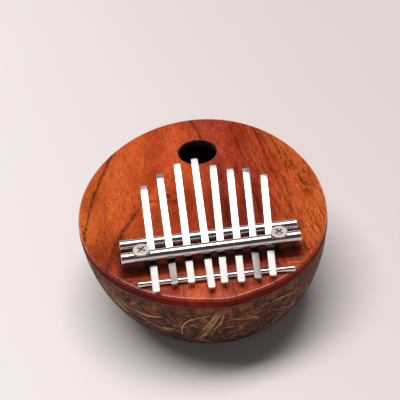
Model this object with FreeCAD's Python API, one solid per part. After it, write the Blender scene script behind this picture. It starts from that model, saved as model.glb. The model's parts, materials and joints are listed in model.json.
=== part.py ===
import FreeCAD, Part
import math
import os

from FreeCAD import Vector

# A thumb piano (mbira) on half a coconut shell: a hardwood soundboard with eight steel tines.
# Millimetres. +X is the player's right, +Y runs from the tine tails to the tine tips, +Z is up.
# The origin is on the flat foot that the shell stands on, right under the middle of the board.

# Soundboard
BOARD_HALF_WIDTH = 64.2
BOARD_HALF_LENGTH = 72.2
BOARD_THICKNESS = 5.0
BOARD_EDGE_ROUND = 1.5
HOLE_CENTRE = (2.4, 42.7)
HOLE_RADIUS = 10.4

# Coconut shell: three soft ridges, and a sharper one at the front, make its rim swell by a
# small share of the radius and fade out at the bottom. Angles are from +X, and the board
# has the outline of the rim.
RIDGE_SWELL = 0.0173
RIDGE_ANGLE = 80.0
CORNER_SWELL = 0.016
CORNER_ANGLE = -86.0
CORNER_SPREAD = 8.0
OUTLINE_POINTS = 60
SHELL_DEPTH = 54.0
SHELL_CURVE_DEPTH = 54.3    # depth of the full curve, of which the flat foot cuts off the end
SHELL_CURVE_POWER = 1.8     # a power of 2 and a root of 0.5 would be an ellipse
SHELL_CURVE_ROOT = 0.25
SHELL_LEAN = 2.2            # how far the foot's middle is from under the rim's, towards +X
SHELL_WALL = 4.0
SHELL_LEVELS = 9

# Bars that lie across the board, each as (centre x, centre y, length, turn in degrees about +Z)
BRIDGE_BAR = (0.2, -29.45, 89.2, 0.0)
PRESSURE_BAR = (0.25, -42.15, 88.7, 0.5)
BACK_ROD = (0.7, -57.4, 76.2, -1.6)
BAR_RADIUS = 3.0
BACK_ROD_RADIUS = 1.4
PRESSURE_BAR_HEIGHT = 6.5   # of its axis above the board
BAR_END_CHAMFER = 0.4

# Countersunk cross-head screws, measured down from the top of the head
SCREW_X = (-33.8, 33.8)
SCREW_TOP = 11.5            # above the board
SCREW_RIM = 1.0
SCREW_CONE = 2.0
SCREW_LENGTH = 23.0
SCREW_POINT = 2.5
SCREW_HEAD_RADIUS = 4.2
SCREW_SHANK_RADIUS = 2.0
SCREW_CLEARANCE = 0.15      # round the shank, in the pressure bar
RECESS_LENGTH = 4.4
RECESS_WIDTH = 1.1
RECESS_DEPTH = 1.3

# Hardwood block glued under the board, which the screws bite into
BLOCK_SIZE = (76.0, 16.0, 10.0)

# Tines, each as (x at the bridge bar, fan angle in degrees, free length, tail length)
TINES = (
    (-29.0, -0.2, 33.3, 34.9),
    (-20.0, -0.3, 39.6, 31.5),
    (-11.2, 0.9, 44.8, 31.9),
    (-2.0, 0.9, 46.6, 37.0),
    (5.7, 3.1, 41.0, 34.9),
    (14.0, 3.5, 37.3, 35.6),
    (22.1, 3.7, 36.6, 34.6),
    (30.2, 5.0, 31.4, 33.9),
)
TINE_WIDTH = 3.6
TINE_THICKNESS = 1.0
TINE_CORNER = 0.8
TINE_SLACK = 0.03           # at each bar, so that the solids just don't overlap
TONGUE_SLOPE = 14.0         # degrees, of the free tongue in front of the bridge bar
HEEL_SLOPE = 17.6           # degrees, between the two thick bars
TAIL_SLOPE = -1.7           # degrees, from the back rod to the pressure bar
BEND_UNDER = 12.0           # inner radius of the bend under the pressure bar
BEND_OVER = 30.0            # inner radius of the bend over the bridge bar
TONGUE_START = 1.2          # from the bend over the bridge bar to the flexing line
TONGUE_GAP = 0.2            # modelled between the clamped heel and the free tongue

BOARD_TOP = SHELL_DEPTH + BOARD_THICKNESS
UP = Vector(0, 0, 1)


def outline(half_width, half_length, z, ridge_share=1.0, middle_x=0.0):
    """Closed smooth curve round a coconut's section: an ellipse that swells at its ridges."""
    points = []
    for i in range(OUTLINE_POINTS):
        angle = 360 * i / OUTLINE_POINTS
        ridges = RIDGE_SWELL * math.cos(math.radians(3 * (angle - RIDGE_ANGLE)))
        from_corner = math.remainder(angle - CORNER_ANGLE, 360)
        corner = CORNER_SWELL * math.exp(-(from_corner / CORNER_SPREAD) ** 2)
        swell = 1 + ridge_share * (ridges + corner)
        x = middle_x + half_width * swell * math.cos(math.radians(angle))
        y = half_length * swell * math.sin(math.radians(angle))
        points.append(Vector(x, y, z))
    curve = Part.BSplineCurve()
    curve.interpolate(Points=points, PeriodicFlag=True)
    return Part.Wire(curve.toShape())


def bowl(inset):
    """Solid half coconut, from its flat bottom up to the underside of the board, inset all round."""
    depth = SHELL_DEPTH - inset
    curve_depth = SHELL_CURVE_DEPTH - inset
    sections = []
    for i in range(SHELL_LEVELS):
        sunk = math.sin(0.5 * math.pi * i / (SHELL_LEVELS - 1))
        share = (1 - (sunk * depth / curve_depth) ** SHELL_CURVE_POWER) ** SHELL_CURVE_ROOT
        sections.append(outline(
            (BOARD_HALF_WIDTH - inset) * share,
            (BOARD_HALF_LENGTH - inset) * share,
            SHELL_DEPTH - sunk * depth,
            1 - sunk,
            SHELL_LEAN * sunk ** 2,
        ))
    return Part.makeLoft(sections, True)


def coconut_shell():
    return bowl(0).cut(bowl(SHELL_WALL))


def soundboard():
    rim = Part.Face(outline(BOARD_HALF_WIDTH, BOARD_HALF_LENGTH, SHELL_DEPTH))
    board = rim.extrude(UP * BOARD_THICKNESS)
    top_edges = [edge for edge in board.Edges if edge.BoundBox.ZMin > BOARD_TOP - 0.1]
    board = board.makeFillet(BOARD_EDGE_ROUND, top_edges)
    below = Vector(*HOLE_CENTRE, SHELL_DEPTH)
    board = board.cut(Part.makeCylinder(HOLE_RADIUS, BOARD_THICKNESS, below))
    for x, y in screw_places():
        below = Vector(x, y, SHELL_DEPTH)
        board = board.cut(Part.makeCylinder(SCREW_SHANK_RADIUS, BOARD_THICKNESS, below))
    return board


def screw_block():
    width, depth, height = BLOCK_SIZE
    x, y = PRESSURE_BAR[:2]
    corner = Vector(x - width / 2, y - depth / 2, SHELL_DEPTH - height)
    block = Part.makeBox(width, depth, height, corner)
    for place in screw_places():
        block = block.cut(screw_body(*place))
    return block


def bar(place, radius, height):
    """Round bar lying across the board, with its axis at a height above the board."""
    x, y, length, turn = place
    solid = Part.makeCylinder(radius, length, Vector(-length / 2, 0, 0), Vector(1, 0, 0))
    rims = [edge for edge in solid.Edges if edge.BoundBox.XLength < 0.1]
    solid = solid.makeChamfer(BAR_END_CHAMFER, rims)
    solid.rotate(Vector(), UP, turn)
    solid.translate(Vector(x, y, BOARD_TOP + height))
    return solid


def pressure_bar():
    solid = bar(PRESSURE_BAR, BAR_RADIUS, PRESSURE_BAR_HEIGHT)
    shank_hole = SCREW_SHANK_RADIUS + SCREW_CLEARANCE
    for x, y in screw_places():
        solid = solid.cut(screw_body(x, y))
        solid = solid.cut(Part.makeCylinder(shank_hole, PRESSURE_BAR_HEIGHT, Vector(x, y, BOARD_TOP)))
    return solid


def screw_places():
    """Where the two screws pass through the pressure bar, seen from above."""
    x_mid, y_mid, _, turn = PRESSURE_BAR
    return [(x, y_mid + (x - x_mid) * math.tan(math.radians(turn))) for x in SCREW_X]


def screw_body(x, y):
    """Point, shank, cone and rim of a screw, which is also the shape of the hole that it fills."""
    top = BOARD_TOP + SCREW_TOP
    under_rim = top - SCREW_RIM
    under_cone = under_rim - SCREW_CONE
    end = top - SCREW_LENGTH
    profile = Part.makePolygon([
        Vector(0, 0, end),
        Vector(SCREW_SHANK_RADIUS, 0, end + SCREW_POINT),
        Vector(SCREW_SHANK_RADIUS, 0, under_cone),
        Vector(SCREW_HEAD_RADIUS, 0, under_rim),
        Vector(SCREW_HEAD_RADIUS, 0, top),
        Vector(0, 0, top),
        Vector(0, 0, end),
    ])
    body = Part.Face(profile).revolve(Vector(), UP, 360)
    body.translate(Vector(x, y, 0))
    return body


def screw(x, y):
    """Screw with the cross recess in its head."""
    body = screw_body(x, y)
    for turn in (45, 135):
        corner = Vector(-RECESS_LENGTH / 2, -RECESS_WIDTH / 2, 0)
        slot = Part.makeBox(RECESS_LENGTH, RECESS_WIDTH, RECESS_DEPTH, corner)
        slot.rotate(Vector(), UP, turn)
        slot.translate(Vector(x, y, BOARD_TOP + SCREW_TOP - RECESS_DEPTH))
        body = body.cut(slot)
    return body


def crossing(place, x_bridge, fan):
    """Distance along a tine, seen from above, from the bridge bar's axis to another bar's axis."""
    x, y, _, turn = place
    turn = math.radians(turn)
    across = (x_bridge - x) * math.sin(turn) - (BRIDGE_BAR[1] - y) * math.cos(turn)
    return across / math.cos(math.radians(fan) + turn)


def bend_corner(along, height, side, slope, turn, bend):
    """Corner of a tine's centreline whose bend touches a bar: side is 1 over the bar, -1 under it."""
    half = TINE_THICKNESS / 2
    sharpness = 1 / math.cos(math.radians(turn / 2)) - 1
    reach = side * (BAR_RADIUS + half + TINE_SLACK + (bend + half) * sharpness)
    slope = math.radians(slope)
    return Vector(0, along - reach * math.sin(slope), height + reach * math.cos(slope))


def tine_corners(x_bridge, fan, tail):
    """Tail end and the two bends of a tine's centreline, in its own side view.

    Y runs along the tine from the bridge bar's axis, and Z is the height above the board.
    """
    at_press = crossing(PRESSURE_BAR, x_bridge, fan)
    at_rod = crossing(BACK_ROD, x_bridge, fan)
    slope = (HEEL_SLOPE + TAIL_SLOPE) / 2
    turn = HEEL_SLOPE - TAIL_SLOPE
    under = bend_corner(at_press, PRESSURE_BAR_HEIGHT, -1, slope, turn, BEND_UNDER)
    slope = (HEEL_SLOPE + TONGUE_SLOPE) / 2
    turn = HEEL_SLOPE - TONGUE_SLOPE
    over = bend_corner(0, BAR_RADIUS, 1, slope, turn, BEND_OVER)
    on_rod = Vector(0, at_rod, 2 * BACK_ROD_RADIUS + TINE_THICKNESS / 2 + TINE_SLACK)
    back = (on_rod - under).normalize()
    return under + back * ((under.y + tail) / -back.y), under, over


def tongue_direction():
    slope = math.radians(TONGUE_SLOPE)
    return Vector(0, math.cos(slope), math.sin(slope))


def bent_path(points, bends):
    """Straight runs through the points, with a round bend at each inner point."""
    edges = []
    start = points[0]
    for before, corner, after, bend in zip(points, points[1:], points[2:], bends):
        back = (before - corner).normalize()
        ahead = (after - corner).normalize()
        half_angle = back.getAngle(ahead) / 2
        entry = corner + back * (bend / math.tan(half_angle))
        leave = corner + ahead * (bend / math.tan(half_angle))
        inward = (back + ahead).normalize()
        middle = corner + inward * (bend / math.sin(half_angle) - bend)
        edges.append(Part.makeLine(start, entry))
        edges.append(Part.Arc(entry, middle, leave).toShape())
        start = leave
    edges.append(Part.makeLine(start, points[-1]))
    return Part.Wire(edges)


def strip(path, end_y):
    """Flat strip along a path in the side view, with rounded corners at the end nearest end_y."""
    half_width = TINE_WIDTH / 2
    first = path.Edges[0]
    tangent = first.tangentAt(first.FirstParameter)
    thick = tangent.cross(Vector(1, 0, 0)) * (TINE_THICKNESS / 2)
    wide = Vector(half_width, 0, 0)
    start = first.firstVertex().Point
    corners = [start + wide + thick, start - wide + thick, start - wide - thick, start + wide - thick]
    section = Part.makePolygon(corners + corners[:1])
    solid = path.makePipeShell([section], True, False)
    rounded = [
        edge for edge in solid.Edges
        if edge.Length < TINE_THICKNESS + 0.1 and abs(edge.CenterOfMass.y - end_y) < TINE_THICKNESS
    ]
    return solid.makeFillet(TINE_CORNER, rounded)


def put_on_board(solid, x_bridge, fan):
    """Turns a tine from its side view to its place on the board."""
    solid.rotate(Vector(), UP, -fan)
    solid.translate(Vector(x_bridge, BRIDGE_BAR[1], BOARD_TOP))
    return solid


def tine_heel(x_bridge, fan, free, tail):
    """The clamped part of a tine: over the back rod, under the pressure bar, over the bridge bar."""
    end, under, over = tine_corners(x_bridge, fan, tail)
    root = over + tongue_direction() * TONGUE_START
    half = TINE_THICKNESS / 2
    path = bent_path([end, under, over, root], [BEND_UNDER + half, BEND_OVER + half])
    return put_on_board(strip(path, end.y), x_bridge, fan)


def tine_tongue(x_bridge, fan, free, tail):
    """The part of a tine that springs: straight, from the flexing line to the tip."""
    over = tine_corners(x_bridge, fan, tail)[2]
    along = tongue_direction()
    root = over + along * (TONGUE_START + TONGUE_GAP)
    tip = over + along * free
    path = Part.Wire([Part.makeLine(root, tip)])
    return put_on_board(strip(path, tip.y), x_bridge, fan)


pieces = {
    "soundboard": soundboard(),
    "coconut_shell": coconut_shell(),
    "screw_block": screw_block(),
    "bridge_bar": bar(BRIDGE_BAR, BAR_RADIUS, BAR_RADIUS),
    "pressure_bar": pressure_bar(),
    "back_rod": bar(BACK_ROD, BACK_ROD_RADIUS, BACK_ROD_RADIUS),
}
for side, place in zip(("left", "right"), screw_places()):
    pieces["screw_" + side] = screw(*place)
for number, tine in enumerate(TINES, 1):
    pieces[f"tine_heel_{number}"] = tine_heel(*tine)
    pieces[f"tine_tongue_{number}"] = tine_tongue(*tine)

os.makedirs("parts", exist_ok=True)
for node, shape in pieces.items():
    shape.exportStep(f"parts/{node}.step")
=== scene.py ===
import json
import math
import random

import bpy
from mathutils import Matrix, Vector, noise


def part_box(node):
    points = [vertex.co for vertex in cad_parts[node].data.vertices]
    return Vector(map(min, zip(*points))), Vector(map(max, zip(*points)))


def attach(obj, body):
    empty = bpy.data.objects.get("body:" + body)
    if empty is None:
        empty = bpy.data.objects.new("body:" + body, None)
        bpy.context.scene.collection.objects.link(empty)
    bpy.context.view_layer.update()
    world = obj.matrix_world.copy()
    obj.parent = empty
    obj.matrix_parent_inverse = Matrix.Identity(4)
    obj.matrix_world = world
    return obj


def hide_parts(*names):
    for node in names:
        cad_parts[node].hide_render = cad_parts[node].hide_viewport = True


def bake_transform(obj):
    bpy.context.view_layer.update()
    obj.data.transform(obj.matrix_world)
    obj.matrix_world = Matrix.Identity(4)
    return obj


# A thumb piano on half a coconut shell, in metres. Named sizes are in millimetres and times MM.
# The row frame has +X to the player's right, +Y towards the tine tips and +Z up.

MM = 0.001

# Camera, aimed at the middle of the soundboard
VIEW_ELEVATION = 40.5
VIEW_AZIMUTH = -3.3
VIEW_ROLL = -4.9
VIEW_DISTANCE = 0.600
VIEW_LENS = 103.6
VIEW_TARGET = (-0.8, 2.0)

# Soundboard and shell, with the outline that they share
HALF_WIDTH = 64.2
HALF_LENGTH = 72.2
RIDGE_SWELL = 0.0173
RIDGE_ANGLE = 80.0
CORNER_SWELL = 0.016
CORNER_ANGLE = -86.0
CORNER_SPREAD = 8.0
EDGE_ROUND = 1.5
HOLE_CENTRE = (2.4, 42.7)
HOLE_RADIUS = 10.4
SHELL_EXTRA = 0.3           # the shell's full curve is this much deeper than its flat foot
SHELL_POWER = 1.8
SHELL_ROOT = 0.25
SHELL_LEAN = 2.2
SHELL_WALL = 4.0
RING_POINTS = 288
HOLE_LIP = 0.7              # rounding of the sound hole's upper edge
UNDER_EDGE = 0.35           # rounding of the board's lower edges
UNDER_LAP = 1.2             # how far the board's underside is rowed in before the flat begins
OUTER_LEVELS = 64
INNER_LEVELS = 23

# Bars and screws
BAR_RADIUS = 3.0
ROD_RADIUS = 1.4
PRESSURE_TURN = 0.5
ROD_TURN = -1.6
BAR_SIDES = 96
BAR_EDGE = 0.45             # rounding of the bars' end edges
SCREW_RIM = 1.0
SCREW_CONE = 2.0
SCREW_POINT = 2.5
SCREW_SIDES = 64
SHANK_RADIUS = 2.0
PLAIN_SHANK = 1.2           # length of shank without thread, below the cone
HEAD_RADIUS = 4.2
HEAD_EDGE = 0.35
THREAD_PITCH = 0.9
THREAD_DEPTH = 0.38

# Tines
TINE_WIDTH = 3.6
TINE_THICKNESS = 1.0
TINE_SLOPE = 14.0
TINE_CORNER = 0.8
BEND_UNDER = 5.0
BEND_OVER = 30.5
BRIDGE_TO_FLEX = 1.3
UNDER_SHIFT = 0.45          # the strip's lowest point lies this far in front of the pressure bar's middle
UNDER_GAP = 0.14            # and its corner this far below the bar, which the round bend closes
TIP_THICKNESS = 0.35
FILED_LENGTH = 3.6
PAINTED_SHADE_ROOT = 4.6             # the tails get painted shade up to here in front of the pressure bar, for its shadow and reflection
SHADED_TWIST = 5.0            # tails twisted by more degrees than this get the darker copy of the tail steel, painted shade
# each tine's filed tip, in degrees below the strip, and its sideways twist at the tail and at the tip
TINE_FINISH = (
    (13, 0.5, 1.5), (17, 8.0, 0.0), (7, 0.0, 0.5), (8, 0.0, 0.0),
    (9, 0.0, -0.5), (9, 0.0, 0.5), (13, -8.0, -9.0), (10, 0.0, 0.0),
)

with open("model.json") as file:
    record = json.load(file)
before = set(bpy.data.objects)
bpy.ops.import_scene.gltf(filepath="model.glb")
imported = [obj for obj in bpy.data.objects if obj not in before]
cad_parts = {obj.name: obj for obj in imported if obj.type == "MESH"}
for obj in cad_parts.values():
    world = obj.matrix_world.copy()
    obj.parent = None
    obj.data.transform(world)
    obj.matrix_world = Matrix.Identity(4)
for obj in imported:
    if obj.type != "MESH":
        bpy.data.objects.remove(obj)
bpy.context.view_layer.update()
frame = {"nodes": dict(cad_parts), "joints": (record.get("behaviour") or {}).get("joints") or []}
board_low, board_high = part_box("soundboard")
BOARD_TOP = board_high.z / MM
BOARD_UNDER = board_low.z / MM
random.seed(11)


# ---------------------------------------------------------------- mesh helpers

def skin(name, rings, loop=False, caps=True, smooth=True):
    """Mesh over rings of points in millimetres, as a closed loop of rings or with caps at its ends."""
    count = len(rings[0])
    points = [Vector(p) * MM for ring in rings for p in ring]
    faces = []
    for i in range(len(rings) if loop else len(rings) - 1):
        a = i * count
        b = (i + 1) % len(rings) * count
        for j in range(count):
            k = (j + 1) % count
            faces.append((a + j, a + k, b + k, b + j))
    if caps and not loop:
        faces.append(tuple(reversed(range(count))))
        faces.append(tuple(range(len(points) - count, len(points))))
    mesh = bpy.data.meshes.new(name)
    mesh.from_pydata(points, [], faces)
    mesh.polygons.foreach_set("use_smooth", [smooth] * len(faces))
    mesh.update()
    piece = bpy.data.objects.new(name, mesh)
    bpy.context.scene.collection.objects.link(piece)
    return piece


def sharp_caps(piece):
    """The flat ends of a skin keep a crisp edge."""
    for polygon in piece.data.polygons:
        if len(polygon.vertices) > 4:
            polygon.use_smooth = False


def arc(radius, start, end, steps):
    """Points (across, up) of an arc about the origin, with angles in degrees."""
    turns = [math.radians(start + (end - start) * i / steps) for i in range(steps + 1)]
    return [(radius * math.cos(t), radius * math.sin(t)) for t in turns]


def baked(piece):
    """Applies the piece's modifiers to its mesh."""
    bpy.context.view_layer.update()
    shape = piece.evaluated_get(bpy.context.evaluated_depsgraph_get())
    mesh = bpy.data.meshes.new_from_object(shape)
    piece.modifiers.clear()
    piece.data = mesh


def cut_out(piece, cutter):
    change = piece.modifiers.new("cut", "BOOLEAN")
    change.operation = "DIFFERENCE"
    change.solver = "EXACT"
    change.object = cutter
    baked(piece)
    bpy.data.objects.remove(cutter)


# ---------------------------------------------------------------- materials

class Graph:
    """A material's node tree, with a short method for each kind of node used here."""

    def __init__(self, name):
        self.material = bpy.data.materials.new(name)
        self.material.use_nodes = True
        self.nodes = self.material.node_tree.nodes
        self.links = self.material.node_tree.links
        self.shader = self.nodes["Principled BSDF"]
        place = self.nodes.new("ShaderNodeTexCoord").outputs["Object"]
        self.place = self.scale(place, 1 / MM)
        self.x, self.y, self.z = self.split(self.place)

    def put(self, socket, value):
        if isinstance(value, bpy.types.NodeSocket):
            self.links.new(value, socket)
        else:
            socket.default_value = value

    def set(self, **values):
        """Sets or links the shader's sockets: Base_Color=..., Roughness=..."""
        for name, value in values.items():
            self.put(self.shader.inputs[name.replace("_", " ")], value)

    def math(self, operation, a, b=0.0, c=0.0):
        node = self.nodes.new("ShaderNodeMath")
        node.operation = operation
        for socket, value in zip(node.inputs, (a, b, c)):
            self.put(socket, value)
        return node.outputs[0]

    def vector(self, operation, a, b=(0, 0, 0)):
        node = self.nodes.new("ShaderNodeVectorMath")
        node.operation = operation
        self.put(node.inputs[0], a)
        self.put(node.inputs[1], b)
        return node.outputs["Value" if operation == "LENGTH" else "Vector"]

    def scale(self, a, factor):
        return self.vector("MULTIPLY", a, (factor, factor, factor))

    def stretched(self, x, y, z=1.0):
        """Place with its axes scaled, so that features draw out along an axis scaled below 1."""
        return self.vector("MULTIPLY", self.place, (x, y, z))

    def split(self, a):
        node = self.nodes.new("ShaderNodeSeparateXYZ")
        self.put(node.inputs[0], a)
        return node.outputs

    def join(self, x, y, z):
        node = self.nodes.new("ShaderNodeCombineXYZ")
        for socket, value in zip(node.inputs, (x, y, z)):
            self.put(socket, value)
        return node.outputs[0]

    def noise(self, place, size=1.0, detail=2.0, roughness=0.5, warp=0.0):
        """Noise between 0 and 1, with features about as large as size."""
        node = self.nodes.new("ShaderNodeTexNoise")
        self.put(node.inputs["Vector"], place)
        self.put(node.inputs["Scale"], 1 / size)
        self.put(node.inputs["Detail"], detail)
        self.put(node.inputs["Roughness"], roughness)
        self.put(node.inputs["Distortion"], warp)
        return node.outputs[0]

    def span(self, value, low, high, to_low=0.0, to_high=1.0):
        """Maps low..high to to_low..to_high, smoothly and clamped."""
        node = self.nodes.new("ShaderNodeMapRange")
        node.interpolation_type = "SMOOTHSTEP"
        for socket, v in zip(node.inputs, (value, low, high, to_low, to_high)):
            self.put(socket, v)
        return node.outputs[0]

    def ramp(self, value, stops):
        node = self.nodes.new("ShaderNodeValToRGB")
        self.put(node.inputs[0], value)
        elements = node.color_ramp.elements
        while len(elements) < len(stops):
            elements.new(1.0)
        for element, (position, colour) in zip(elements, stops):
            element.position = position
            element.color = (*colour, 1)
        return node.outputs[0]

    def mix(self, share, a, b, blend="MIX"):
        node = self.nodes.new("ShaderNodeMix")
        node.data_type = "RGBA"
        node.blend_type = blend
        self.put(node.inputs["Factor"], share)
        for socket, value in ((node.inputs[6], a), (node.inputs[7], b)):
            self.put(socket, value if isinstance(value, bpy.types.NodeSocket) else (*value, 1))
        return node.outputs[2]

    def tint(self, share, colour, factor):
        """Multiplies a colour by factor where share is 1, and leaves it where share is 0."""
        return self.mix(share, colour, factor, "MULTIPLY")

    def darken(self, colour, share, depth):
        """Tints towards a warm dark tone, about depth times as light."""
        return self.tint(share, colour, (depth, depth * 0.8, depth * 0.7))

    def bump(self, height, distance, normal=None):
        node = self.nodes.new("ShaderNodeBump")
        self.put(node.inputs["Height"], height)
        self.put(node.inputs["Distance"], distance * MM)
        if normal is not None:
            self.put(node.inputs["Normal"], normal)
        return node.outputs[0]


# Colour of the wood across the board, from its left side to its right
WOOD_BANDS = (
    (0.00, (0.80, 0.160, 0.032)),
    (0.06, (0.80, 0.152, 0.032)),
    (0.28, (0.73, 0.112, 0.026)),
    (0.46, (0.71, 0.106, 0.028)),
    (0.56, (0.50, 0.070, 0.028)),
    (0.80, (0.53, 0.066, 0.024)),
    (0.93, (0.66, 0.104, 0.024)),
    (1.00, (0.74, 0.150, 0.032)),
)
# Dark growth lines: x where y is 0, slope, curve, half width, then y from and to, and strength
GROWTH_LINES = (
    (-59.3, 0.21, 0.002, 0.9, -24, 58, 0.90),
    (-33.6, 0.62, 0.0046, 1.5, -46, 1, 0.80),
    (17.1, -0.21, 0.0, 1.1, 52, 74, 0.80),
    (31.2, -0.135, 0.0, 0.6, 30, 64, 0.45),
    (42.6, -0.115, 0.0, 0.8, -30, 62, 0.50),
    (46.5, -0.14, 0.0, 0.6, -10, 50, 0.40),
    (12.0, 0.0, 0.0006, 2.2, -26, 36, 0.55),
    (22.0, -0.03, 0.0004, 1.4, -26, 30, 0.50),
    (29.0, 0.02, 0.0, 1.2, -28, 16, 0.45),
    (-15.8, 0.0, 0.0, 0.8, -72, -52, 0.60),
    (-2.0, 0.02, 0.0, 0.5, -72, -52, 0.40),
    (8.0, 0.0, 0.0, 0.7, -72, -50, 0.60),
    (24.0, 0.05, 0.0, 0.6, -70, -50, 0.45),
    (36.0, -0.20, 0.0, 1.0, -20, 40, 0.35),
    (56.0, -0.26, 0.0, 0.9, -10, 44, 0.35),
)
# The arch over the knot, with x and y swapped
ARCH_LINE = (-11.5, -1.44, -0.03, 1.2, -33, -12, 0.65)
KNOT = (-17.5, 8.5)


def growth_line(g, across, along, line):
    """A dark line in the wood, soft at its sides and ends."""
    start, slope, curve, width, low, high, strength = line
    course = g.math("MULTIPLY_ADD", along, curve, slope)
    course = g.math("MULTIPLY_ADD", along, course, start)
    away = g.math("DIVIDE", g.math("SUBTRACT", across, course), width)
    share = g.math("EXPONENT", g.math("MULTIPLY", g.math("MULTIPLY", away, away), -1.0))
    share = g.math("MULTIPLY", share, g.span(along, low - 4, low + 4))
    share = g.math("MULTIPLY", share, g.span(along, high + 4, high - 4))
    return g.math("MULTIPLY", share, strength)


def wood_figure(g):
    """The wood's own colour: broad bands across the board, fine fibre and a faint ribbon."""
    sway = g.noise(g.stretched(1, 0.8), 34, 2)
    x = g.math("MULTIPLY_ADD", sway, 5.0, g.math("SUBTRACT", g.x, 2.5))
    streak = g.noise(g.stretched(1, 0.03, 0.2), 3.2, 4, 0.6)
    band = g.math("MULTIPLY_ADD", g.math("SUBTRACT", streak, 0.5), 14.0, x)
    colour = g.ramp(g.span(band, -66, 66), WOOD_BANDS)
    fibre = g.noise(g.stretched(1, 0.14, 0.3), 0.8, 3, 0.65)
    colour = g.tint(1.0, colour, g.ramp(fibre, ((0.30, (0.70, 0.60, 0.54)), (0.70, (1.18, 1.24, 1.26)))))
    ribbon = g.noise(g.stretched(1, 0.22), 7.0, 3, 0.6)
    colour = g.tint(1.0, colour, g.ramp(ribbon, ((0.3, (0.84, 0.76, 0.72)), (0.72, (1.12, 1.20, 1.24)))))
    return colour, band, fibre


def knot(g, wander):
    """Share of the dark knot and of the rings round it."""
    from_knot = g.vector("SUBTRACT", g.place, (*KNOT, BOARD_TOP))
    distance = g.vector("LENGTH", g.vector("MULTIPLY", from_knot, (1, 0.8, 1)))
    away = g.math("MULTIPLY_ADD", wander, 4.0, g.math("SUBTRACT", distance, 2.0))
    rings = g.math("SINE", g.math("MULTIPLY", away, 1.5))
    rings = g.math("MULTIPLY", g.span(rings, 0.2, 1.0), g.span(away, 9.0, 4.0))
    core = g.math("MAXIMUM", g.math("MULTIPLY", rings, 0.4), g.span(away, 2.6, 1.0))
    return g.math("MULTIPLY", core, 0.95)


def growth_marks(g, wander, line_x):
    """Share of the dark growth lines, the arch and the knot, broken up by the fibre."""
    line_y = g.math("MULTIPLY_ADD", wander, 2.2, g.math("SUBTRACT", g.y, 1.1))
    dark = growth_line(g, line_y, g.x, ARCH_LINE)
    for line in GROWTH_LINES:
        dark = g.math("MAXIMUM", dark, growth_line(g, line_x, g.y, line))
    dark = g.math("MAXIMUM", dark, knot(g, wander))
    broken = g.span(g.noise(g.stretched(1, 0.4), 0.9, 2), 0.36, 0.56, 0.50, 1.0)
    return g.math("MULTIPLY", dark, broken)


def leaning_grain(g, colour, band):
    """Long dark pores on the right of the board, and gold flecks towards both sides."""
    lean = g.math("MULTIPLY", g.y, g.span(g.x, 0, 40, 0.0, 0.16))
    leaning = g.vector("ADD", g.place, g.join(lean, 0.0, 0.0))
    pores = g.span(g.noise(g.vector("MULTIPLY", leaning, (1, 0.09, 1)), 1.15, 3, 0.6), 0.53, 0.63)
    pores = g.math("MULTIPLY", pores, g.span(g.x, 6, 30, 0.0, 0.75))
    colour = g.darken(colour, pores, 0.32)
    outer = g.span(g.math("ABSOLUTE", g.math("ADD", band, 3.0)), 40, 58)
    gold = g.span(g.noise(g.vector("MULTIPLY", leaning, (1, 0.28, 1)), 1.0, 2, 0.6), 0.53, 0.62)
    return g.mix(g.math("MULTIPLY", g.math("MULTIPLY", gold, outer), 0.36), colour, (0.95, 0.31, 0.045))


def short_pores(g):
    """Share of the short dark pores, which crowd together in places."""
    pores = g.span(g.noise(g.stretched(1, 0.26, 0.6), 0.60, 1, 0.4), 0.59, 0.69)
    crowd = g.span(g.noise(g.stretched(1, 0.35), 9.0, 2), 0.35, 0.65, 0.35, 1.0)
    return g.math("MULTIPLY", pores, crowd)


def broad_shades(g, colour, line_x):
    """Dark front left, cloudy tone, a painted milky reflection along the front strip, a painted shadow round
    the bars, and painted shade in the front corner.
    """
    shade = g.math("MULTIPLY", g.span(g.y, -10, -32), g.span(g.x, -26, -42))
    colour = g.tint(shade, colour, (0.58, 0.46, 0.60))
    cloud = g.noise(g.stretched(1, 0.45), 15.0, 4, 0.6)
    colour = g.tint(1.0, colour, g.ramp(cloud, ((0.34, (0.76, 0.64, 0.62)), (0.60, (1.08, 1.10, 1.12)))))
    # Painted milky reflection of the varnish: the front strip is lightened and paled.
    colour = g.tint(g.span(g.y, -52, -62), colour, (1.05, 1.25, 1.4))
    # Painted shadow of the bars and tine tails: the board is darkened round the bars and in front of them.
    painted_bar_shadow = g.math("MULTIPLY", g.span(g.y, -26, -32), g.span(g.y, -53, -48))
    painted_bar_shadow = g.math("MULTIPLY", painted_bar_shadow, g.span(g.math("ABSOLUTE", g.math("ADD", line_x, 0.5)), 49, 43))
    colour = g.tint(g.math("MULTIPLY", painted_bar_shadow, 0.9), colour, (0.16, 0.09, 0.12))
    # Painted shade in the front corner, left of the middle, in front of the tails.
    corner = g.math("MULTIPLY", g.span(g.y, -50, -58), g.span(g.x, -10, -24))
    return g.tint(corner, colour, (0.62, 0.45, 0.85))


def painted_rim_light(g, colour):
    """Edge of the board: painted shade on the rounding at the front, a painted highlight on the rounding
    towards the back, and painted shade down its side, reaching higher at the front.
    """
    depth = g.math("SUBTRACT", BOARD_TOP, g.z)
    # Painted shade on the rounding at the front of the edge.
    painted_front_rim_shade = g.math("MULTIPLY", g.span(depth, 0.04, 0.35), g.span(g.y, -30, -48))
    colour = g.tint(painted_front_rim_shade, colour, (0.62, 0.42, 0.36))
    # Painted highlight along the rounding, fading out towards the front.
    painted_rim_highlight = g.math("MULTIPLY", g.span(depth, 0.05, 0.5), g.span(depth, 1.2, 0.6))
    painted_rim_highlight = g.math("MULTIPLY", painted_rim_highlight, g.span(g.y, -30, 5, 0.0, 0.7))
    colour = g.mix(painted_rim_highlight, colour, (0.85, 0.44, 0.30))
    # Painted shade down the board's side, starting higher at the front than at the back.
    side = g.span(g.math("SUBTRACT", depth, g.span(g.y, -30, 5, 0.0, 1.6)), 0.5, 2.2)
    return g.tint(side, colour, (0.50, 0.24, 0.12))


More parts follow.
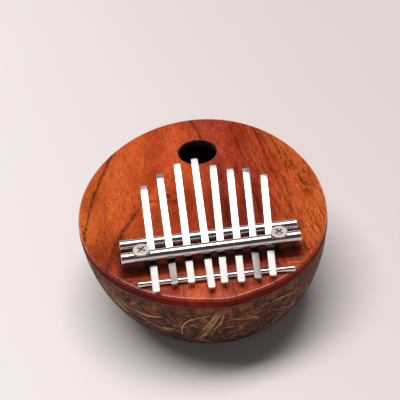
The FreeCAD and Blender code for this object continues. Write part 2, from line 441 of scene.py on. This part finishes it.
def varnished_wood(name, coat_weight):
    """Red-brown hardwood under gloss varnish."""
    g = Graph(name)
    colour, band, fibre = wood_figure(g)
    wander = g.noise(g.stretched(1, 0.5), 5.0, 3)
    line_x = g.math("MULTIPLY_ADD", wander, 2.2, g.math("SUBTRACT", g.x, 1.1))
    colour = g.mix(growth_marks(g, wander, line_x), colour, (0.075, 0.012, 0.008))
    colour = leaning_grain(g, colour, band)
    pores = short_pores(g)
    colour = g.darken(colour, g.math("MULTIPLY", pores, 0.9), 0.28)
    colour = broad_shades(g, colour, line_x)
    colour = painted_rim_light(g, colour)
    g.set(Base_Color=colour, Roughness=g.span(fibre, 0.2, 0.8, 0.42, 0.32))
    g.set(Specular_IOR_Level=0.0, Coat_Weight=coat_weight, Coat_Roughness=0.05, Coat_IOR=1.5)
    swell = g.noise(g.place, 16.0, 1)
    coat = g.bump(pores, -0.02, g.bump(swell, 0.10))
    g.set(Coat_Normal=coat, Normal=g.bump(pores, -0.05))
    return g.material


def raw_wood(name, light, dark):
    """Sawn hardwood, open grained and matt."""
    g = Graph(name)
    grain = g.noise(g.stretched(0.06, 1), 0.8, 4, 0.6)
    saw = g.noise(g.stretched(1, 0.1, 0.1), 0.5, 2)
    g.set(Base_Color=g.ramp(grain, ((0.3, dark), (0.7, light))), Roughness=0.75)
    g.set(Normal=g.bump(g.math("ADD", grain, saw), 0.08))
    return g.material


def around_shell(g, across, down):
    """Texture place that runs down the shell: features are long along its meridians."""
    direction = g.vector("NORMALIZE", g.stretched(1 / HALF_WIDTH, 1 / HALF_LENGTH, 0))
    around = g.scale(direction, HALF_WIDTH / across)
    return g.vector("ADD", around, g.join(0.0, 0.0, g.math("DIVIDE", g.z, down)))


def coconut_outside():
    """Scraped shell: mottled brown with dark furrows, tan flecks and pits, a dusty rim, and painted shade
    that darkens it towards the foot.
    """
    g = Graph("coconut_outside")
    mottle = g.noise(g.place, 5.0, 5, 0.65, 0.6)
    colour = g.ramp(mottle, (
        (0.30, (0.022, 0.007, 0.003)),
        (0.48, (0.075, 0.023, 0.009)),
        (0.68, (0.240, 0.090, 0.038)),
    ))
    furrow = g.noise(around_shell(g, 4.0, 0.9), 1.0, 4, 0.7, 1.2)
    colour = g.tint(1.0, colour, g.ramp(furrow, ((0.34, (0.30, 0.24, 0.22)), (0.66, (1.8, 1.8, 1.7)))))
    fleck = g.noise(around_shell(g, 2.4, 0.35), 1.0, 3, 0.6, 1.6)
    tan = g.math("MULTIPLY", g.span(fleck, 0.60, 0.70), g.span(g.noise(g.place, 9.0, 2), 0.42, 0.60))
    colour = g.mix(g.math("MULTIPLY", tan, 0.6), colour, (0.40, 0.19, 0.085))
    speckle = g.noise(g.place, 0.8, 3, 0.7)
    colour = g.tint(1.0, colour, g.ramp(speckle, ((0.36, (0.45, 0.42, 0.40)), (0.62, (1.5, 1.5, 1.5)))))
    pits = g.span(g.noise(g.place, 0.9, 2), 0.58, 0.72)
    colour = g.darken(colour, g.math("MULTIPLY", pits, 0.55), 0.4)
    rim = g.span(g.math("ADD", g.z, g.math("MULTIPLY", mottle, 5.0)), BOARD_UNDER - 4, BOARD_UNDER + 3)
    colour = g.mix(g.math("MULTIPLY", rim, 0.35), colour, (0.14, 0.070, 0.046))
    # Painted shade: the shell darkens towards its foot.
    foot = g.span(g.math("MULTIPLY_ADD", mottle, 8.0, g.z), 50, 22)
    colour = g.tint(foot, colour, (0.22, 0.15, 0.13))
    g.set(Base_Color=colour, Roughness=g.span(mottle, 0.3, 0.7, 0.66, 0.46), Specular_IOR_Level=0.10)
    height = g.math("ADD", furrow, g.math("MULTIPLY", pits, -0.5))
    g.set(Normal=g.bump(height, 0.35))
    return g.material


def coconut_inside():
    """Smooth dark inner face of the shell."""
    g = Graph("coconut_inside")
    veins = g.noise(around_shell(g, 1.5, 8), 1.0, 4, 0.6, 1.0)
    g.set(Base_Color=g.ramp(veins, ((0.35, (0.05, 0.026, 0.014)), (0.65, (0.12, 0.065, 0.035)))))
    g.set(Roughness=0.5, Normal=g.bump(veins, 0.1))
    return g.material


def fibre_strands():
    """Dry golden husk fibre."""
    g = Graph("fibre_strands")
    tone = g.noise(g.place, 4.0, 3, 0.6)
    colour = g.ramp(tone, ((0.30, (0.26, 0.11, 0.05)), (0.5, (0.70, 0.36, 0.16)), (0.7, (0.93, 0.62, 0.35))))
    g.set(Base_Color=colour, Roughness=0.55, Normal=g.bump(g.noise(g.place, 0.3, 2), 0.05))
    return g.material


def plated_steel(name, colour, roughness, grain, wear):
    """Nickel-plated steel: drawn lines along grain, a stretch of the texture, and faint smudges."""
    g = Graph(name)
    lines = g.noise(g.stretched(*grain), 0.12, 3, 0.6)
    smudge = g.noise(g.place, 6.0, 4, 0.6)
    g.set(Base_Color=g.ramp(smudge, ((0.30, [c * (1 - wear) for c in colour]), (0.6, colour))))
    rough = g.math("MULTIPLY_ADD", smudge, 0.10, g.math("MULTIPLY_ADD", lines, 0.10, roughness - 0.10))
    g.set(Metallic=1.0, Roughness=rough, Normal=g.bump(lines, 0.002))
    return g.material


def glue():
    """Thin squeezed-out line of brown wood glue, uneven in tone."""
    g = Graph("glue")
    tone = g.noise(g.place, 2.5, 3)
    g.set(Base_Color=g.ramp(tone, ((0.35, (0.055, 0.022, 0.014)), (0.65, (0.16, 0.085, 0.06)))))
    g.set(Roughness=0.4, Normal=g.bump(tone, 0.1))
    return g.material


WOOD = varnished_wood("varnished_wood", 1.0)
WOOD_EDGE = varnished_wood("varnished_edge", 0.1)
HOLE_WALL = raw_wood("hole_wall", (0.10, 0.028, 0.014), (0.035, 0.012, 0.007))
BLOCK_WOOD = raw_wood("block_wood", (0.42, 0.25, 0.13), (0.22, 0.11, 0.05))
SHELL_OUTSIDE = coconut_outside()
SHELL_INSIDE = coconut_inside()
FIBRE = fibre_strands()
BAR_STEEL = plated_steel("bar_steel", (0.66, 0.62, 0.61), 0.17, (0.03, 1, 1), 0.10)
TINE_STEEL = plated_steel("tine_steel", (0.84, 0.82, 0.80), 0.30, (1, 0.04, 1), 0.06)
TAIL_STEEL = plated_steel("tail_steel", (0.95, 0.93, 0.90), 0.50, (0.04, 1, 1), 0.05)
# Darker copy of the tail steel: painted shade for tails twisted away from the light.
SHADED_TAIL_STEEL = plated_steel("shaded_tail_steel", (0.55, 0.52, 0.49), 0.48, (0.04, 1, 1), 0.20)
SCREW_STEEL = plated_steel("screw_steel", (0.78, 0.70, 0.64), 0.42, (1, 1, 1), 0.30)
# Painted shade for the inside of the cross recess.
RECESS_SHADE_STEEL = plated_steel("recess_painted_shade", (0.15, 0.12, 0.10), 0.45, (1, 1, 1), 0.50)
# Painted shade: the tail roots in front of the pressure bar, for its shadow and reflection, and the screw
# shanks under the bar.
PAINTED_SHADE_STEEL = plated_steel("painted_shade_steel", (0.075, 0.060, 0.055), 0.50, (1, 1, 1), 0.50)
GLUE = glue()


# ---------------------------------------------------------------- soundboard and shell

def outline_radius(angle, ridge_share=1.0):
    """Share of the half width and half length that the coconut's outline has at an angle in degrees."""
    ridges = RIDGE_SWELL * math.cos(math.radians(3 * (angle - RIDGE_ANGLE)))
    from_corner = math.remainder(angle - CORNER_ANGLE, 360)
    return 1 + ridge_share * (ridges + CORNER_SWELL * math.exp(-(from_corner / CORNER_SPREAD) ** 2))


def outline_point(angle, inset=0.0):
    swell = outline_radius(angle)
    point = Vector((
        HALF_WIDTH * swell * math.cos(math.radians(angle)),
        HALF_LENGTH * swell * math.sin(math.radians(angle)),
    ))
    return point * (1 - inset / point.length)


ANGLES = [360 * i / RING_POINTS for i in range(RING_POINTS)]


def board_ring(inset, z):
    return [(*outline_point(a, inset=inset), z) for a in ANGLES]


def hole_ring(grow, z):
    """Ring round the sound hole, each point towards its partner on the board's outline."""
    ring = []
    centre = Vector(HOLE_CENTRE)
    for a in ANGLES:
        away = (outline_point(a) - centre).normalized()
        ring.append((*(centre + away * (HOLE_RADIUS + grow)), z))
    return ring


def soundboard():
    """Board with a rounded edge and a rounded lip round its sound hole."""
    under, top = BOARD_UNDER, BOARD_TOP
    edge = [(UNDER_LAP, under), (UNDER_EDGE, under), (0.0, under + UNDER_EDGE), (0.0, top - EDGE_ROUND)]
    edge += [(EDGE_ROUND - x, top - EDGE_ROUND + z) for x, z in arc(EDGE_ROUND, 0, 90, 9)[1:]]
    edge += [(EDGE_ROUND + 0.5, top)]
    rings = [board_ring(inset, z) for inset, z in edge]
    hole = [(HOLE_LIP + 0.5, top)]
    hole += [(HOLE_LIP - x, top - HOLE_LIP + z) for x, z in arc(HOLE_LIP, 90, 0, 6)]
    hole += [(0.0, under + 0.4), (0.4, under), (UNDER_LAP, under)]
    rings += [hole_ring(grow, z) for grow, z in hole]
    piece = skin("soundboard_top", rings, loop=True)
    piece.data.materials.append(WOOD)
    piece.data.materials.append(WOOD_EDGE)
    piece.data.materials.append(HOLE_WALL)
    hole_reach = (HOLE_RADIUS + 0.5) * MM
    for polygon in piece.data.polygons:
        in_hole = (polygon.center.xy - Vector(HOLE_CENTRE) * MM).length < hole_reach
        if in_hole:
            polygon.material_index = 2
        elif polygon.center.z < (top - 0.9) * MM:
            polygon.material_index = 1
    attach(piece, "soundbox")
    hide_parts("soundboard")


def shell_point(angle, depth, inset=0.0):
    """Point of the shell's outside, or of its inside with the wall as inset."""
    full = BOARD_UNDER - inset
    share = (1 - (depth / (full + SHELL_EXTRA)) ** SHELL_POWER) ** SHELL_ROOT
    sunk = depth / full
    swell = outline_radius(angle, 1 - sunk) * share
    return Vector((
        SHELL_LEAN * sunk ** 2 + (HALF_WIDTH - inset) * swell * math.cos(math.radians(angle)),
        (HALF_LENGTH - inset) * swell * math.sin(math.radians(angle)),
        BOARD_UNDER - depth,
    ))


def scraped(point, depth):
    """Outside point of the shell after scraping: low furrows down its sides and shallow dents."""
    direction = Vector((point.x, point.y, 0)).normalized()
    furrow = noise.noise(direction * 22 + Vector((0, 0, depth / 3)))
    dent = noise.noise(point / 7.0)
    fade = min(1.0, depth / 3, (BOARD_UNDER - depth) / 5)
    cut = 0.10 * abs(furrow) + 0.22 * max(0.0, dent) + 0.05
    return point - direction * cut * max(0.0, fade)


def coconut():
    """Half shell with its wall, open under the board."""
    outside = []
    for i in range(OUTER_LEVELS + 1):
        depth = BOARD_UNDER * math.sin(0.5 * math.pi * i / OUTER_LEVELS)
        outside.append([scraped(shell_point(a, depth), depth) for a in ANGLES])
    inner_depth = BOARD_UNDER - SHELL_WALL
    inside = []
    for i in range(INNER_LEVELS + 1):
        depth = inner_depth * math.sin(0.5 * math.pi * i / INNER_LEVELS)
        inside.append([shell_point(a, depth, SHELL_WALL) for a in ANGLES])
    piece = skin("coconut_half", list(reversed(outside)) + inside)
    piece.data.materials.append(SHELL_OUTSIDE)
    piece.data.materials.append(SHELL_INSIDE)
    outer_faces = RING_POINTS * (OUTER_LEVELS + 1)
    foot = piece.data.polygons[-2]
    for polygon in piece.data.polygons:
        polygon.material_index = int(polygon.index >= outer_faces)
    foot.material_index = 0
    sharp_caps(piece)
    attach(piece, "soundbox")
    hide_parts("coconut_shell")


# Husk fibres seen at the front: angle and depth where each starts and ends, its bow and its radius
FRONT_FIBRES = (
    (-133, 12.2, -116, 10.4, 0.8, 0.23), (-131, 13.6, -118, 11.4, 0.6, 0.16),
    (-128, 16.8, -123, 19.4, 0.3, 0.16), (-123, 21.0, -112, 19.0, 0.5, 0.20),
    (-120, 22.4, -115, 20.6, 0.4, 0.14), (-109, 24.0, -94, 6.0, -2.6, 0.27),
    (-150, 7.0, -137, 20.5, 1.0, 0.19), (-147, 5.0, -136, 17.0, 0.8, 0.16),
    (-143, 4.0, -133, 14.0, 0.8, 0.16), (-66, 7.2, -55, 9.2, -0.6, 0.22),
    (-61, 16.2, -55, 21.0, 0.4, 0.16), (-78, 10.0, -72, 17.0, 0.5, 0.16),
    (-86, 9.0, -74, 14.0, 0.6, 0.14),
)
RIDGE_FIBRES = 13
LOOSE_FIBRES = 150
GLUE_RADIUS = 0.28


def fibre(start, end, bow, radius):
    """Rings of one strand that hugs the shell, tapered at both ends."""
    steps = 18
    line = []
    for i in range(steps + 1):
        t = i / steps
        sideways = 1.4 * bow * math.sin(math.pi * t)
        angle = start[0] + (end[0] - start[0]) * t + sideways
        depth = max(1.2, start[1] + (end[1] - start[1]) * t + sideways)
        point = shell_point(angle, depth)
        out = (point - shell_point(angle, depth, 1.0)).normalized()
        wobble = 0.25 * radius * noise.noise(point * 0.9)
        line.append((point + out * (wobble - 0.02), out))
    rings = []
    for i, (point, out) in enumerate(line):
        ahead = line[min(i + 1, steps)][0] - line[max(i - 1, 0)][0]
        side = out.cross(ahead).normalized()
        taper = math.sin(math.pi * (i + 0.5) / (steps + 1)) ** 0.5
        size = radius * (0.25 + 0.75 * taper)
        rings.append([point + (side * x + out * z) * size for x, z in arc(1.0, 0, 300, 5)])
    return rings


def fibres():
    """Husk fibres: those seen at the front, a bundle down the front ridge and loose ones all round."""
    strands = [fibre(f[:2], f[2:4], f[4], f[5]) for f in FRONT_FIBRES]
    for _ in range(RIDGE_FIBRES):
        a = -90 + random.uniform(-1.6, 1.6)
        d = random.uniform(2, 7)
        reach = random.uniform(12, 27)
        end = (a - 0.40 * reach + random.uniform(-2.0, 2.0), d + reach)
        strands.append(fibre((a, d), end, random.uniform(-0.8, 0.8), random.uniform(0.07, 0.15)))
    for _ in range(LOOSE_FIBRES):
        a = random.uniform(-180, 180)
        d = random.uniform(2.5, 30)
        turn = random.uniform(-9, 9)
        drop = random.uniform(-5, 9)
        end = (a + turn, min(38, max(2, d + drop)))
        strands.append(fibre((a, d), end, random.uniform(-0.5, 0.5), random.uniform(0.04, 0.09)))
    pieces = [skin("husk_fibre", rings) for rings in strands]
    joined = pieces[0]
    with bpy.context.temp_override(active_object=joined, selected_editable_objects=pieces):
        bpy.ops.object.join()
    joined.name = "husk_fibres"
    joined.data.materials.append(FIBRE)
    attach(joined, "soundbox")


def glue_line():
    """Bead of glue in the corner between the board and the shell."""
    rings = []
    for x, z in arc(GLUE_RADIUS, 0, 330, 11):
        ring = []
        for a in ANGLES:
            unevenness = 0.08 * noise.noise(Vector((a / 9, 0, 0)))
            ring.append((*outline_point(a, inset=0.12 - x + unevenness), BOARD_UNDER - 0.05 + z))
        rings.append(ring)
    piece = skin("glue_line", rings, loop=True)
    piece.data.materials.append(GLUE)
    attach(piece, "soundbox")


# ---------------------------------------------------------------- bars and screws

def bar(name, node, radius, turn):
    """Round bar with softly broken end edges, along the CAD bar's axis."""
    low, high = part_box(node)
    centre = (low + high) / 2 / MM
    half = (high.x - low.x) / 2 / MM - radius * abs(math.sin(math.radians(turn)))
    end = half - BAR_EDGE
    profile = [(-end - x, radius - BAR_EDGE + r) for r, x in arc(BAR_EDGE, 90, 0, 5)]
    profile += [(-end + 0.8, radius), (end - 0.8, radius)]
    profile += [(end + x, radius - BAR_EDGE + r) for r, x in arc(BAR_EDGE, 0, 90, 5)]
    place = Matrix.Translation(centre) @ Matrix.Rotation(math.radians(turn), 4, "Z")
    turns = [2 * math.pi * i / BAR_SIDES for i in range(BAR_SIDES)]
    rings = []
    for x, r in profile:
        rings.append([place @ Vector((x, r * math.cos(t), r * math.sin(t))) for t in turns])
    piece = skin(name, rings)
    sharp_caps(piece)
    piece.data.materials.append(BAR_STEEL)
    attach(piece, "soundbox")
    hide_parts(node)


def cross_cutters(centre, top, turn):
    """The two tapered slots of a cross-head recess."""
    cutters = []
    for angle in (turn, turn + 90):
        spin = Matrix.Rotation(math.radians(angle), 4, "Z")
        spin.translation = (centre.x, centre.y, top)
        rings = []
        for z, long, wide in ((-1.6, 0.8, 0.30), (-0.5, 2.0, 0.50), (0.4, 2.45, 0.66)):
            corners = ((-long, -wide), (long, -wide), (long, wide), (-long, wide))
            rings.append([spin @ Vector((x, y, z)) for x, y in corners])
        cutter = skin("cutter", rings, smooth=False)
        cutter.data.materials.append(RECESS_SHADE_STEEL)
        cutters.append(cutter)
    return cutters


def screw(name, node, turn):
    """Countersunk screw: domed rim, cross recess, cone and threaded shank."""
    low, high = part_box(node)
    centre = (low + high) / 2 / MM
    top = high.z / MM
    end = low.z / MM
    cone_foot = top - SCREW_RIM - SCREW_CONE
    thread_low = end + SCREW_POINT
    thread_high = cone_foot - PLAIN_SHANK
    profile = [(0.25, end), (0.9, end + 1.0)]
    steps = int((thread_high - thread_low) / (THREAD_PITCH / 6))
    for i in range(steps + 1):
        profile.append((SHANK_RADIUS, thread_low + i * THREAD_PITCH / 6))
    profile += [(SHANK_RADIUS, cone_foot), (HEAD_RADIUS - 0.05, top - SCREW_RIM)]
    profile += [(HEAD_RADIUS, top - SCREW_RIM + 0.08), (HEAD_RADIUS, top - 0.4)]
    profile += [(HEAD_RADIUS - HEAD_EDGE + r, top - HEAD_EDGE + z) for r, z in arc(HEAD_EDGE, 20, 90, 4)]
    profile += [(HEAD_RADIUS - 0.7, top - 0.01)]
    rings = []
    for radius, z in profile:
        threaded = thread_low <= z <= thread_high
        ring = []
        for i in range(SCREW_SIDES):
            t = 2 * math.pi * i / SCREW_SIDES
            groove = abs(math.remainder(z / THREAD_PITCH - i / SCREW_SIDES, 1.0)) * 2 if threaded else 0.0
            r = radius - THREAD_DEPTH * groove
            ring.append((centre.x + r * math.cos(t), centre.y + r * math.sin(t), z))
        rings.append(ring)
    piece = skin(name, rings)
    sharp_caps(piece)
    piece.data.materials.append(SCREW_STEEL)
    piece.data.materials.append(PAINTED_SHADE_STEEL)
    # The shank below the head gets the painted shade steel, for the shade under the bar.
    for polygon in piece.data.polygons:
        polygon.material_index = int(polygon.center.z < (cone_foot + 0.3) * MM)
    for cutter in cross_cutters(centre, top, turn):
        cut_out(piece, cutter)
    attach(piece, "soundbox")
    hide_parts(node)


# ---------------------------------------------------------------- tines

def farthest(node, point, direction):
    """How far a CAD node reaches from a point along a direction."""
    mesh = frame["nodes"][node].data
    return max((v.co - point).dot(direction) for v in mesh.vertices)


def rounded_corner(before, corner, after, radius, steps):
    """Points of the round bend that replaces a corner of a path in (along, up)."""
    back = (before - corner).normalized()
    ahead = (after - corner).normalized()
    half = back.angle(ahead) / 2
    centre = corner + (back + ahead).normalized() * (radius / math.sin(half))
    entry = corner + back * (radius / math.tan(half)) - centre
    turn = entry.angle_signed(corner + ahead * (radius / math.tan(half)) - centre)
    points = []
    for i in range(steps + 1):
        swing = Matrix.Rotation(-turn * i / steps, 2)
        points.append(centre + swing @ entry)
    return points


def tine_path(number, joint):
    """Centreline of a tine in its side view, as (along from the flexing line, up), tail first."""
    hinge = Vector(joint["pos_m"])
    axis = Vector(joint["axis"])
    ahead = Vector((-axis.y, axis.x, 0)).normalized()
    slope = Vector((math.cos(math.radians(TINE_SLOPE)), math.sin(math.radians(TINE_SLOPE))))
    up = hinge.z / MM
    tip_reach = farthest(f"tine_tongue_{number}", hinge, ahead) / MM
    tail_reach = farthest(f"tine_heel_{number}", hinge, -ahead) / MM
    over = Vector((0, up)) - slope * BRIDGE_TO_FLEX
    press_low, press_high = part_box("pressure_bar")
    rod_low, rod_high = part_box("back_rod")
    half = TINE_THICKNESS / 2
    press_along = ((press_low + press_high) / 2 - hinge).dot(ahead) / MM
    press_along -= math.tan(math.radians(PRESSURE_TURN)) * hinge.x / MM
    under = Vector((press_along + UNDER_SHIFT, press_low.z / MM - half - UNDER_GAP))
    rod_along = ((rod_low + rod_high) / 2 - hinge).dot(ahead) / MM
    on_rod = Vector((rod_along, rod_high.z / MM + half))
    back = (on_rod - under).normalized()
    tail = under + back * ((under.x + tail_reach) / -back.x)
    tip = over + slope * ((tip_reach - over.x) / slope.x)
    points = [tail + (under - tail) * i / 20 for i in range(20)]
    points += rounded_corner(tail, under, over, BEND_UNDER, 8)
    points += rounded_corner(under, over, tip, BEND_OVER, 4)
    points += [over + (tip - over) * i / 40 for i in range(2, 41)]
    return points, hinge, ahead


def tine_section(width, thickness):
    """Section of the strip, with round corners, as (across, up)."""
    soft = min(0.2, thickness * 0.4)
    w = width / 2 - soft
    t = thickness / 2 - soft
    corners = ((w, t, 0), (-w, t, 90), (-w, -t, 180), (w, -t, 270))
    section = []
    for x, z, start in corners:
        section += [(x + a, z + b) for a, b in arc(soft, start, start + 90, 3)]
    return section[::-1]


def end_width(from_end):
    """Width of the strip near its rounded end."""
    if from_end >= TINE_CORNER:
        return TINE_WIDTH
    inside = TINE_CORNER - from_end
    return TINE_WIDTH - 2 * TINE_CORNER + 2 * math.sqrt(max(0.0, TINE_CORNER ** 2 - inside ** 2))


def dense_ends(points):
    """Adds points where the strip's ends are rounded."""
    steps = [TINE_CORNER * (1 - math.cos(math.radians(a))) for a in (0, 25, 45, 65, 90)]
    ends = []
    for end, inner in ((points[0], points[1]), (points[-1], points[-2])):
        inward = (inner - end).normalized()
        ends.append([end + inward * step for step in steps])
    tail, tip = ends
    return tail + points[1:-1] + tip[::-1]


def tine(number, joint):
    """One tine as a single strip that bends at the bridge, filed at its tip and slightly twisted."""
    points, hinge, ahead = tine_path(number, joint)
    points = dense_ends(points)
    filed, twist_tail, twist_tip = TINE_FINISH[number - 1]
    side = Vector((ahead.y, -ahead.x, 0))
    up = Vector((0, 0, 1))
    origin = Vector((hinge.x, hinge.y, 0)) / MM
    rings = []
    for i, point in enumerate(points):
        before = points[max(i - 1, 0)]
        after = points[min(i + 1, len(points) - 1)]
        tangent = (after - before).normalized()
        normal = Vector((-tangent.y, tangent.x))
        to_tip = (points[-1] - point).length
        to_tail = (point - points[0]).length
        fall = max(0.0, FILED_LENGTH - to_tip) * math.tan(math.radians(filed))
        thickness = max(TIP_THICKNESS, TINE_THICKNESS - fall)
        drop = (TINE_THICKNESS - thickness) / 2 - fall
        share = to_tail / (to_tail + to_tip)
        twist = math.radians(twist_tail + (twist_tip - twist_tail) * share)
        ring = []
        for a, b in tine_section(end_width(min(to_tip, to_tail)), thickness):
            across = a * math.cos(twist) - b * math.sin(twist)
            height = a * math.sin(twist) + b * math.cos(twist) + drop
            spot = point + normal * height
            ring.append(origin + side * across + ahead * spot.x + up * spot.y)
        rings.append(ring)
    piece = skin(f"tine_{number}", rings)
    sharp_caps(piece)
    piece.data.materials.append(TINE_STEEL)
    piece.data.materials.append(PAINTED_SHADE_STEEL)
    # Twisted tails take the darker copy of the tail steel, painted shade.
    piece.data.materials.append(SHADED_TAIL_STEEL if abs(twist_tail) > SHADED_TWIST else TAIL_STEEL)
    bar_low, bar_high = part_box("pressure_bar")
    # Tail faces just in front of the pressure bar get painted shade for its shadow and reflection.
    for polygon in piece.data.polygons:
        past_bar = (bar_low.y + bar_high.y) / 2 - polygon.center.y
        polygon.material_index = int(past_bar > 0) + int(past_bar > PAINTED_SHADE_ROOT * MM)
    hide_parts(f"tine_heel_{number}", f"tine_tongue_{number}")
    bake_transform(piece)


# ---------------------------------------------------------------- stage

def look_from(elevation, azimuth):
    """Unit vector from the target to the camera, and the camera's level right and up."""
    e, a = math.radians(elevation), math.radians(azimuth)
    back = Vector((math.sin(a) * math.cos(e), -math.cos(a) * math.cos(e), math.sin(e)))
    right = Vector((math.cos(a), math.sin(a), 0))
    return back, right, back.cross(right)


def camera():
    """Camera at the fitted angle and distance."""
    back, right, up = look_from(VIEW_ELEVATION, VIEW_AZIMUTH)
    roll = math.radians(VIEW_ROLL)
    turned_right = right * math.cos(roll) + up * math.sin(roll)
    turned_up = up * math.cos(roll) - right * math.sin(roll)
    data = bpy.data.cameras.new("camera")
    data.lens = VIEW_LENS
    data.sensor_width = 36
    obj = bpy.data.objects.new("camera", data)
    spot = Vector((VIEW_TARGET[0] * MM, VIEW_TARGET[1] * MM, board_high.z)) + back * VIEW_DISTANCE
    turn = Matrix((turned_right, turned_up, back)).transposed()
    obj.matrix_world = Matrix.Translation(spot) @ turn.to_4x4()
    bpy.context.scene.collection.objects.link(obj)
    bpy.context.scene.camera = obj


# Panels that light only the object: name, azimuth, elevation, distance and size in metres, and radiance
OBJECT_PANELS = (
    ("back_panel", 95, 77, 2.5, (2.3, 1.35), 5.0),
    ("low_panel", 84, 54, 2.5, (1.3, 0.60), 0.9),
    ("side_panel", 175, 62, 2.5, (0.9, 0.9), 2.0),
)
# The panel that lights only the floor
FLOOR_PANEL = ("floor_panel", 192, 84, 7.5, (2.4, 6.6), 12.2)


def light_panel(lit, name, azimuth, elevation, distance, size, radiance):
    """Flat panel that faces the object and lights the collection lit. Azimuth 90 is behind the object."""
    a, e = math.radians(azimuth), math.radians(elevation)
    away = Vector((math.cos(e) * math.cos(a), math.cos(e) * math.sin(a), math.sin(e)))
    data = bpy.data.lights.new(name, "AREA")
    data.shape = "RECTANGLE"
    data.size, data.size_y = size
    data.energy = radiance * math.pi * size[0] * size[1]
    data.color = (1.0, 0.98, 0.97)
    obj = bpy.data.objects.new(name, data)
    turn = away.to_track_quat("Z", "Y").to_matrix().to_4x4()
    obj.matrix_world = Matrix.Translation(away * distance) @ turn
    obj.visible_camera = False
    obj.light_linking.receiver_collection = lit
    bpy.context.scene.collection.objects.link(obj)


def receivers(name, floor, state):
    """What a panel lights: only the floor with INCLUDE, or all but the floor with EXCLUDE."""
    group = bpy.data.collections.new(name)
    group.objects.link(floor)
    group.collection_objects[0].light_linking.link_state = state
    return group


def floor_material():
    """Pale paper with painted shade that darkens it to the right and a little towards +Y."""
    g = Graph("floor_paper_painted_shade")
    across = g.math("MULTIPLY_ADD", g.y, 0.25, g.x)
    tone = g.math("MULTIPLY_ADD", g.noise(g.place, 160.0, 2), 0.1, g.span(across, -200, 260, 0.0, 0.9))
    g.set(Base_Color=g.ramp(tone, ((0.05, (0.86, 0.80, 0.805)), (0.95, (0.70, 0.625, 0.625)))))
    g.set(Roughness=0.9, Specular_IOR_Level=0.1)
    return g.material


# Sines of the elevations where the paper ends and the room begins, and their light
PAPER_HEIGHT = 0.18
ROOM_HEIGHT = 0.40
PAPER_STRENGTH = 0.80
ROOM_STRENGTH = 0.06


def surroundings():
    """Pale paper all round up to about 10 degrees, which fades to a dim room above about 24 degrees."""
    world = bpy.data.worlds.new("studio")
    world.use_nodes = True
    nodes = world.node_tree.nodes
    links = world.node_tree.links
    direction = nodes.new("ShaderNodeTexCoord").outputs["Generated"]
    split = nodes.new("ShaderNodeSeparateXYZ")
    links.new(direction, split.inputs[0])
    height = nodes.new("ShaderNodeMapRange")
    height.interpolation_type = "SMOOTHSTEP"
    for socket, value in zip(height.inputs[1:], (PAPER_HEIGHT, ROOM_HEIGHT, PAPER_STRENGTH, ROOM_STRENGTH)):
        socket.default_value = value
    links.new(split.outputs["Z"], height.inputs[0])
    background = nodes["Background"]
    background.inputs["Color"].default_value = (1.0, 0.94, 0.93, 1)
    links.new(height.outputs[0], background.inputs["Strength"])
    bpy.context.scene.world = world


def studio():
    """Floor, surroundings and panels."""
    corners = [(-6000, -6000), (6000, -6000), (6000, 6000), (-6000, 6000)]
    floor = skin("floor", [[(*corner, z) for corner in corners] for z in (-0.3, 0)], smooth=False)
    floor.data.materials.append(floor_material())
    surroundings()
    on_floor = receivers("lit_floor", floor, "INCLUDE")
    on_object = receivers("lit_object", floor, "EXCLUDE")
    light_panel(on_floor, *FLOOR_PANEL)
    for panel in OBJECT_PANELS:
        light_panel(on_object, *panel)
    bpy.context.scene.view_settings.view_transform = "Standard"


camera()
studio()
soundboard()
coconut()
fibres()
glue_line()
bar("bridge_rod", "bridge_bar", BAR_RADIUS, 0.0)
bar("pressure_rod", "pressure_bar", BAR_RADIUS, PRESSURE_TURN)
bar("tail_rod", "back_rod", ROD_RADIUS, ROD_TURN)
screw("screw_a", "screw_left", 52)
screw("screw_b", "screw_right", 38)
for number, joint in enumerate(frame["joints"], 1):
    tine(number, joint)
frame["nodes"]["screw_block"].data.materials.clear()
frame["nodes"]["screw_block"].data.materials.append(BLOCK_WOOD)
